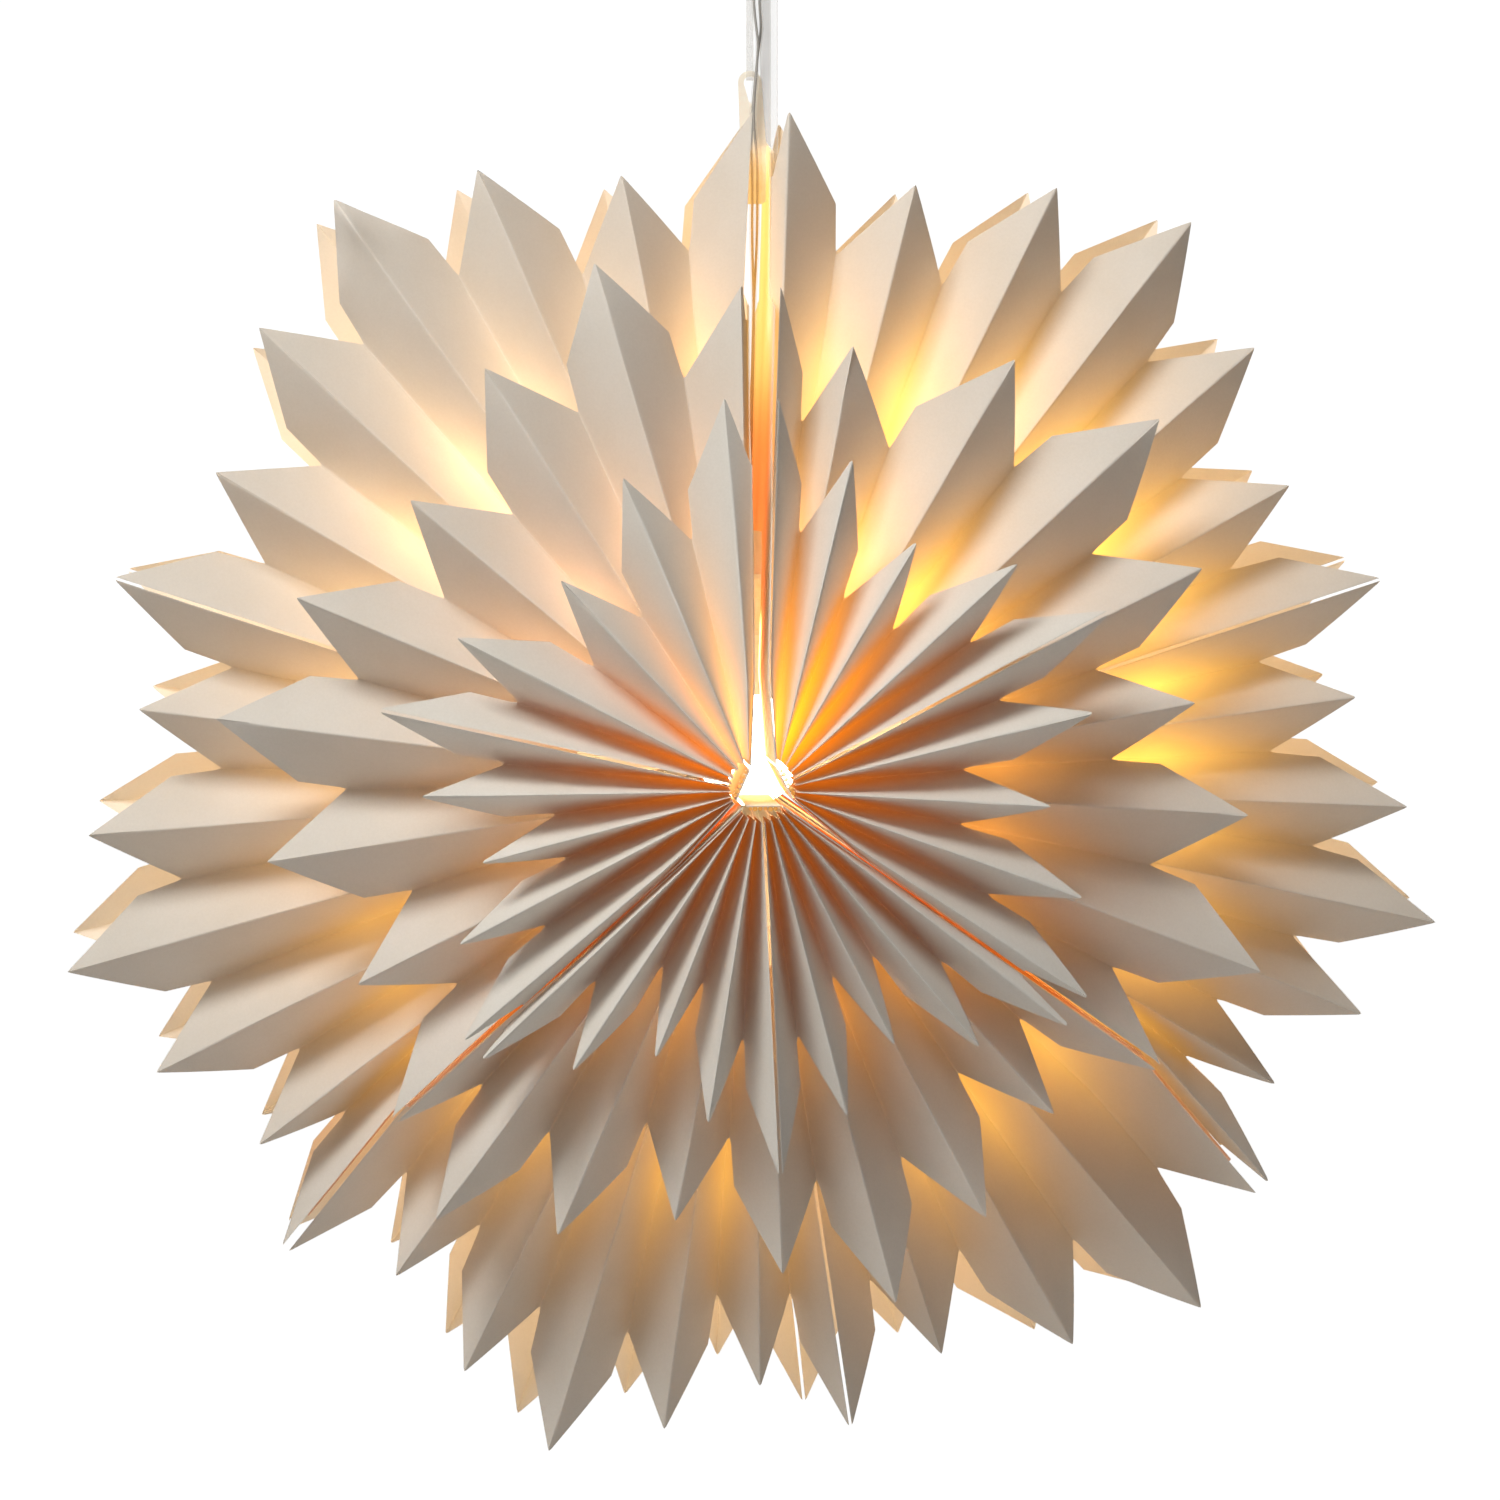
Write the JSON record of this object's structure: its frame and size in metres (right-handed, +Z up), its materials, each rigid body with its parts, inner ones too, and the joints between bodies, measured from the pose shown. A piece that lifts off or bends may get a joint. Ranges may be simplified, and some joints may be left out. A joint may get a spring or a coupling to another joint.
{
  "type": "folding paper star lantern",
  "caption": "Hanging paper star lantern made of folding books of tiered pleated sheets around a lamp, with a hanging tab, ribbon loop, cable, lampholder and bulb",
  "frame": {"origin": "where the ribbon loop hangs: the inside top of the loop, 395.75 mm above and 1.35 mm to the right of the star's front-to-back axis", "axes": "+Z up towards the hanging tab, -Y is the front face, +Y is the star's front-to-back axis, +X to the right seen from the front"},
  "size_m": [0.5915, 0.268, 0.6862],
  "materials": {
    "pleated_paper": "uncoated off-white paper",
    "cover_card": "thin off-white card",
    "clear_glue": "clear hot-melt glue",
    "tab_plastic": "translucent cream plastic",
    "clear_ribbon": "clear film ribbon",
    "clear_jacket": "clear flexible jacket",
    "cable_copper": "tinned copper strands",
    "holder_plastic": "white thermoplastic",
    "holder_core": "glazed insulator",
    "brass_contacts": "plain brass",
    "bulb_cap": "rolled thread cap",
    "bulb_glass": "lightly frosted glass",
    "bulb_filament": "phosphor filament sticks"
  },
  "bodies": {
    "left_end": {"left_upper_cover_leaf": "cover_card", "hanging_tab": "tab_plastic", "cable_jacket": "clear_jacket", "cable_core_front": "cable_copper", "cable_core_back": "cable_copper", "lampholder_shell": "holder_plastic", "lampholder_core": "holder_core", "lampholder_thread_sleeve": "brass_contacts", "lampholder_centre_contact": "brass_contacts", "cord_grip": "holder_plastic", "inner_front_sheet_left_b": "pleated_paper", "inner_back_sheet_left_b": "pleated_paper", "outer_front_sheet_left_b": "pleated_paper", "outer_back_sheet_left_b": "pleated_paper"},
    "left_spine_body": {"left_spine": "cover_card", "left_glue_beads": "clear_glue", "middle_front_sheet_left": "pleated_paper", "middle_back_sheet_left": "pleated_paper"},
    "lower_left_seam": {"left_lower_cover_leaf": "cover_card", "bottom_left_cover_leaf": "cover_card", "inner_front_sheet_left_a": "pleated_paper", "inner_back_sheet_left_a": "pleated_paper", "outer_front_sheet_left_a": "pleated_paper", "outer_back_sheet_left_a": "pleated_paper", "inner_front_sheet_bottom_b": "pleated_paper", "inner_back_sheet_bottom_b": "pleated_paper", "outer_front_sheet_bottom_b": "pleated_paper", "outer_back_sheet_bottom_b": "pleated_paper"},
    "bottom_spine_body": {"bottom_spine": "cover_card", "bottom_glue_beads": "clear_glue", "middle_front_sheet_bottom": "pleated_paper", "middle_back_sheet_bottom": "pleated_paper"},
    "lower_right_seam": {"right_lower_cover_leaf": "cover_card", "bottom_right_cover_leaf": "cover_card", "inner_front_sheet_bottom_a": "pleated_paper", "inner_back_sheet_bottom_a": "pleated_paper", "outer_front_sheet_bottom_a": "pleated_paper", "outer_back_sheet_bottom_a": "pleated_paper", "inner_front_sheet_right_b": "pleated_paper", "inner_back_sheet_right_b": "pleated_paper", "outer_front_sheet_right_b": "pleated_paper", "outer_back_sheet_right_b": "pleated_paper"},
    "right_spine_body": {"right_spine": "cover_card", "right_glue_beads": "clear_glue", "middle_front_sheet_right": "pleated_paper", "middle_back_sheet_right": "pleated_paper"},
    "right_end": {"right_upper_cover_leaf": "cover_card", "inner_front_sheet_right_a": "pleated_paper", "inner_back_sheet_right_a": "pleated_paper", "outer_front_sheet_right_a": "pleated_paper", "outer_back_sheet_right_a": "pleated_paper"},
    "bulb": {"bulb_cap": "bulb_cap", "bulb_base_contact": "brass_contacts", "bulb_glass": "bulb_glass", "bulb_filament": "bulb_filament"},
    "ribbon": {"ribbon_loop": "clear_ribbon", "ribbon_strand": "clear_ribbon"}
  },
  "joints": [
    {"name": "left_book_fold", "type": "hinge", "parent": "left_end", "child": "left_spine_body", "pos_m": [-0.00684, 0, -0.38676], "axis": [0, 1, 0], "range_deg": [0, 66.06], "stiffness_Nm_per_rad": 14, "deforming": ["inner_front_sheet_left_a", "inner_front_sheet_left_b", "inner_back_sheet_left_a", "inner_back_sheet_left_b", "middle_front_sheet_left", "middle_back_sheet_left", "outer_front_sheet_left_a", "outer_front_sheet_left_b", "outer_back_sheet_left_a", "outer_back_sheet_left_b"]},
    {"name": "left_book_second_fold", "type": "hinge", "parent": "left_spine_body", "child": "lower_left_seam", "pos_m": [-0.01306, 0, -0.40074], "axis": [0, 1, 0], "range_deg": [0, 67.48], "stiffness_Nm_per_rad": 14, "deforming": ["inner_front_sheet_left_a", "inner_front_sheet_left_b", "inner_back_sheet_left_a", "inner_back_sheet_left_b", "middle_front_sheet_left", "middle_back_sheet_left", "outer_front_sheet_left_a", "outer_front_sheet_left_b", "outer_back_sheet_left_a", "outer_back_sheet_left_b"]},
    {"name": "bottom_book_fold", "type": "hinge", "parent": "lower_left_seam", "child": "bottom_spine_body", "pos_m": [-0.0094, 0, -0.40235], "axis": [0, 1, 0], "range_deg": [0, 44.73], "stiffness_Nm_per_rad": 14, "deforming": ["inner_front_sheet_bottom_a", "inner_front_sheet_bottom_b", "inner_back_sheet_bottom_a", "inner_back_sheet_bottom_b", "middle_front_sheet_bottom", "middle_back_sheet_bottom", "outer_front_sheet_bottom_a", "outer_front_sheet_bottom_b", "outer_back_sheet_bottom_a", "outer_back_sheet_bottom_b"]},
    {"name": "bottom_book_second_fold", "type": "hinge", "parent": "bottom_spine_body", "child": "lower_right_seam", "pos_m": [0.0059, 0, -0.40235], "axis": [0, 1, 0], "range_deg": [0, 52.18], "stiffness_Nm_per_rad": 14, "deforming": ["inner_front_sheet_bottom_a", "inner_front_sheet_bottom_b", "inner_back_sheet_bottom_a", "inner_back_sheet_bottom_b", "middle_front_sheet_bottom", "middle_back_sheet_bottom", "outer_front_sheet_bottom_a", "outer_front_sheet_bottom_b", "outer_back_sheet_bottom_a", "outer_back_sheet_bottom_b"]},
    {"name": "right_book_fold", "type": "hinge", "parent": "lower_right_seam", "child": "right_spine_body", "pos_m": [0.01076, 0, -0.39995], "axis": [0, 1, 0], "range_deg": [0, 63.29], "stiffness_Nm_per_rad": 14, "deforming": ["inner_front_sheet_right_a", "inner_front_sheet_right_b", "inner_back_sheet_right_a", "inner_back_sheet_right_b", "middle_front_sheet_right", "middle_back_sheet_right", "outer_front_sheet_right_a", "outer_front_sheet_right_b", "outer_back_sheet_right_a", "outer_back_sheet_right_b"]},
    {"name": "right_book_second_fold", "type": "hinge", "parent": "right_spine_body", "child": "right_end", "pos_m": [0.00374, 0, -0.38635], "axis": [0, 1, 0], "range_deg": [0, 61.56], "stiffness_Nm_per_rad": 14, "deforming": ["inner_front_sheet_right_a", "inner_front_sheet_right_b", "inner_back_sheet_right_a", "inner_back_sheet_right_b", "middle_front_sheet_right", "middle_back_sheet_right", "outer_front_sheet_right_a", "outer_front_sheet_right_b", "outer_back_sheet_right_a", "outer_back_sheet_right_b"]},
    {"name": "bulb_thread", "type": "hinge", "parent": "left_end", "child": "bulb", "pos_m": [-0.00035, 0, -0.34775], "axis": [0, 0, 1], "range_deg": [-1440, 0]},
    {"name": "ribbon_swing", "type": "hinge", "parent": "left_end", "child": "ribbon", "pos_m": [0, 0, -0.0949], "axis": [0, 1, 0], "range_deg": [-18, 18]}
  ],
  "couplings": [
    {"joint": "left_book_second_fold", "follows": "left_book_fold", "ratio": 1.0207},
    {"joint": "bottom_book_second_fold", "follows": "bottom_book_fold", "ratio": 1.1654},
    {"joint": "right_book_second_fold", "follows": "right_book_fold", "ratio": 0.9718}
  ]
}
